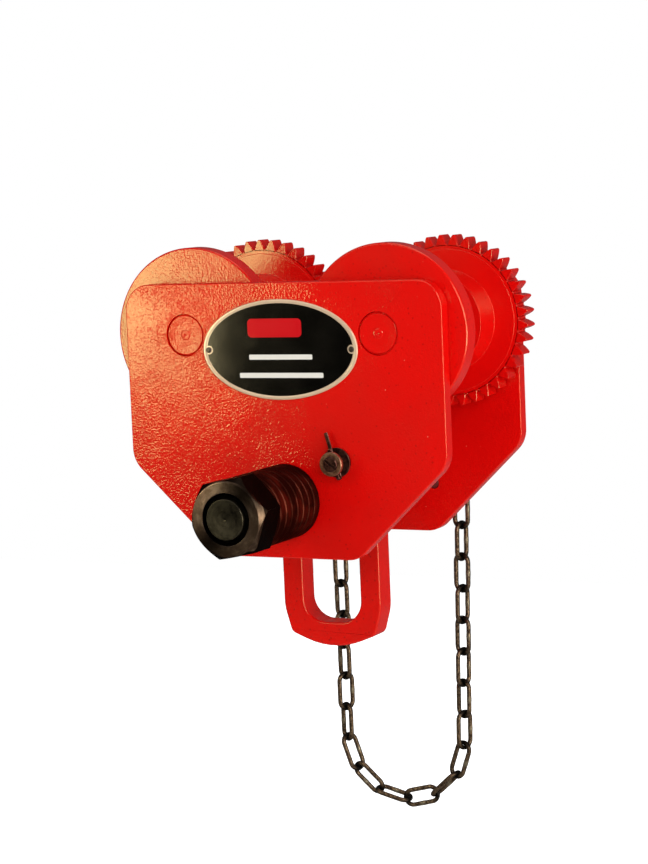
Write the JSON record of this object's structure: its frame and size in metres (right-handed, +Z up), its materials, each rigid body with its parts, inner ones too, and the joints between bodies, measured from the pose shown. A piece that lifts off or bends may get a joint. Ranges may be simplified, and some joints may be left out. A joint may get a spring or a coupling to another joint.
{
  "type": "geared beam trolley",
  "caption": "Geared trolley whose flanged wheels run along the bottom flange of an I-beam, moved by a hand chain, with an eyed suspension plate that carries a hoist.",
  "frame": {"origin": "midway between the side plates and between the axles, at the height of the wheel treads, which is the top of the beam's bottom flange", "axes": "+Z up, +X along the beam to the right as seen from the nameplate's side, +Y across the beam towards the geared side with the hand chain"},
  "size_m": [0.3451, 0.3763, 0.5611],
  "materials": {
    "red_paint": "glossy red paint with a slight orange-peel skin",
    "painted_axle": "glossy red paint over the turned pin end",
    "dark_steel": "black oxide, oiled, turned",
    "bright_steel": "bright zinc plated",
    "chain_steel": "dull plated, oiled",
    "nameplate_enamel": "satin black field in a bare metal rim",
    "bush_bronze": "machined bronze"
  },
  "bodies": {
    "frame": {"axle_front_left": "painted_axle", "axle_front_right": "painted_axle", "axle_rear_left": "painted_axle", "axle_rear_right": "painted_axle", "chain_guide_left": "red_paint", "chain_guide_right": "red_paint", "front_side_plate": "red_paint", "guide_screw_left": "bright_steel", "guide_screw_right": "bright_steel", "hand_chain_bottom": "chain_steel", "hand_chain_left_run": "chain_steel", "hand_chain_over_wheel": "chain_steel", "hand_chain_right_run": "chain_steel", "hanger_bolt": "dark_steel", "hanger_nut": "dark_steel", "inner_spacer_front": "dark_steel", "inner_spacer_rear": "dark_steel", "inner_washer_front": "dark_steel", "inner_washer_rear": "dark_steel", "nameplate": "nameplate_enamel", "nameplate_rivet_left": "bright_steel", "nameplate_rivet_right": "bright_steel", "nut_washer": "dark_steel", "rear_side_plate": "red_paint", "shaft_boss": "red_paint", "shaft_bush": "bush_bronze", "snap_ring_front_left": "dark_steel", "snap_ring_front_right": "dark_steel", "snap_ring_rear_left": "dark_steel", "snap_ring_rear_right": "dark_steel", "spare_spacer_1": "dark_steel", "spare_spacer_2": "dark_steel", "spare_spacer_3": "dark_steel", "spare_spacer_4": "dark_steel", "spare_spacer_5": "dark_steel", "spare_spacer_6": "dark_steel", "spare_spacer_7": "dark_steel", "tie_rod": "dark_steel", "tie_rod_collar": "dark_steel", "tie_rod_split_pin": "dark_steel", "tie_rod_washer": "dark_steel"},
    "wheel_front_left": {"wheel_front_left": "red_paint", "bearing_front_left": "bright_steel", "dust_cap_front_left": "bright_steel"},
    "wheel_front_right": {"wheel_front_right": "red_paint", "bearing_front_right": "bright_steel", "dust_cap_front_right": "bright_steel"},
    "wheel_rear_left": {"wheel_rear_left": "red_paint", "bearing_rear_left": "bright_steel", "dust_cap_rear_left": "bright_steel"},
    "wheel_rear_right": {"wheel_rear_right": "red_paint", "bearing_rear_right": "bright_steel", "dust_cap_rear_right": "bright_steel"},
    "drive": {"pinion_shaft": "dark_steel", "hand_chain_wheel": "red_paint", "shaft_washer": "bright_steel", "shaft_split_pin": "bright_steel"},
    "suspension": {"suspension_plate": "red_paint"}
  },
  "joints": [
    {"name": "wheel_front_left_spin", "type": "hinge", "parent": "frame", "child": "wheel_front_left", "pos_m": [-0.09465, 0, 0.046], "axis": [0, 1, 0], "continuous": true},
    {"name": "wheel_front_right_spin", "type": "hinge", "parent": "frame", "child": "wheel_front_right", "pos_m": [0.09465, 0, 0.046], "axis": [0, 1, 0], "continuous": true},
    {"name": "wheel_rear_left_spin", "type": "hinge", "parent": "frame", "child": "wheel_rear_left", "pos_m": [-0.09465, 0, 0.046], "axis": [0, 1, 0], "continuous": true},
    {"name": "wheel_rear_right_spin", "type": "hinge", "parent": "frame", "child": "wheel_rear_right", "pos_m": [0.09465, 0, 0.046], "axis": [0, 1, 0], "continuous": true},
    {"name": "drive_spin", "type": "hinge", "parent": "frame", "child": "drive", "pos_m": [0, 0, 0.01373], "axis": [0, 1, 0], "continuous": true},
    {"name": "suspension_swing", "type": "hinge", "parent": "frame", "child": "suspension", "pos_m": [0, 0, -0.1005], "axis": [0, 1, 0], "range_deg": [-60, 90]}
  ],
  "couplings": [
    {"joint": "wheel_rear_right_spin", "follows": "wheel_rear_left_spin", "ratio": 1},
    {"joint": "drive_spin", "follows": "wheel_rear_left_spin", "ratio": -2.8462}
  ]
}
